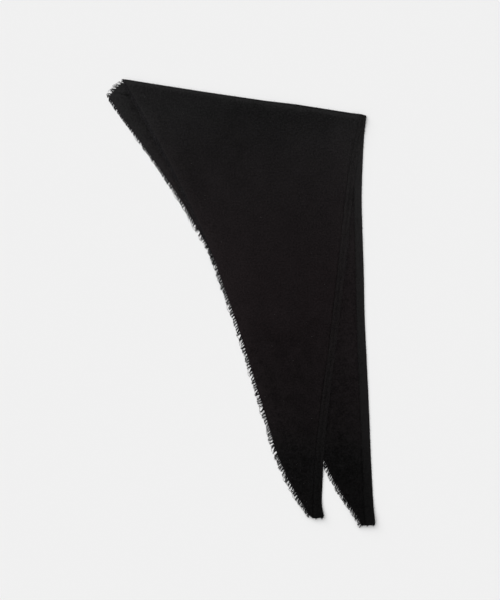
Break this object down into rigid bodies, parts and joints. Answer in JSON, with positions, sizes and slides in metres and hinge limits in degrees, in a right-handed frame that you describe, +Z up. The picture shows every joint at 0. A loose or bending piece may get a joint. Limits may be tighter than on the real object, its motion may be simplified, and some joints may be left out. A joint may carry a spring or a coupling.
{
  "type": "triangle scarf",
  "caption": "Triangle scarf in black brushed wool with a stitched hem and frayed short sides, folded once and laid flat.",
  "frame": {"origin": "middle of the laid-out scarf's outline, on the surface it lies on", "axes": "+Z up from the surface; +Y from the two tips towards the fold; +X from the cloth's frayed corner towards the hem"},
  "size_m": [0.5612, 0.9378, 0.0059],
  "materials": {
    "wool_cloth": "black brushed woven wool, matte nap",
    "wool_hem": "black wool hem, turned in and stitched",
    "wool_fringe": "black wool threads, frayed edge"
  },
  "bodies": {
    "root": {"cloth_back": "wool_cloth", "cloth_front": "wool_cloth", "cloth_fold": "wool_cloth", "hem_back": "wool_hem", "hem_front": "wool_hem", "hem_turn": "wool_hem", "fringe_apex": "wool_fringe", "fringe_back_side": "wool_fringe", "fringe_back_under_a": "wool_fringe", "fringe_back_under_b": "wool_fringe", "fringe_back_tip": "wool_fringe", "fringe_front_top": "wool_fringe", "fringe_front_upper": "wool_fringe", "fringe_front_middle": "wool_fringe", "fringe_front_lower": "wool_fringe", "fringe_front_tip": "wool_fringe"}
  },
  "joints": []
}
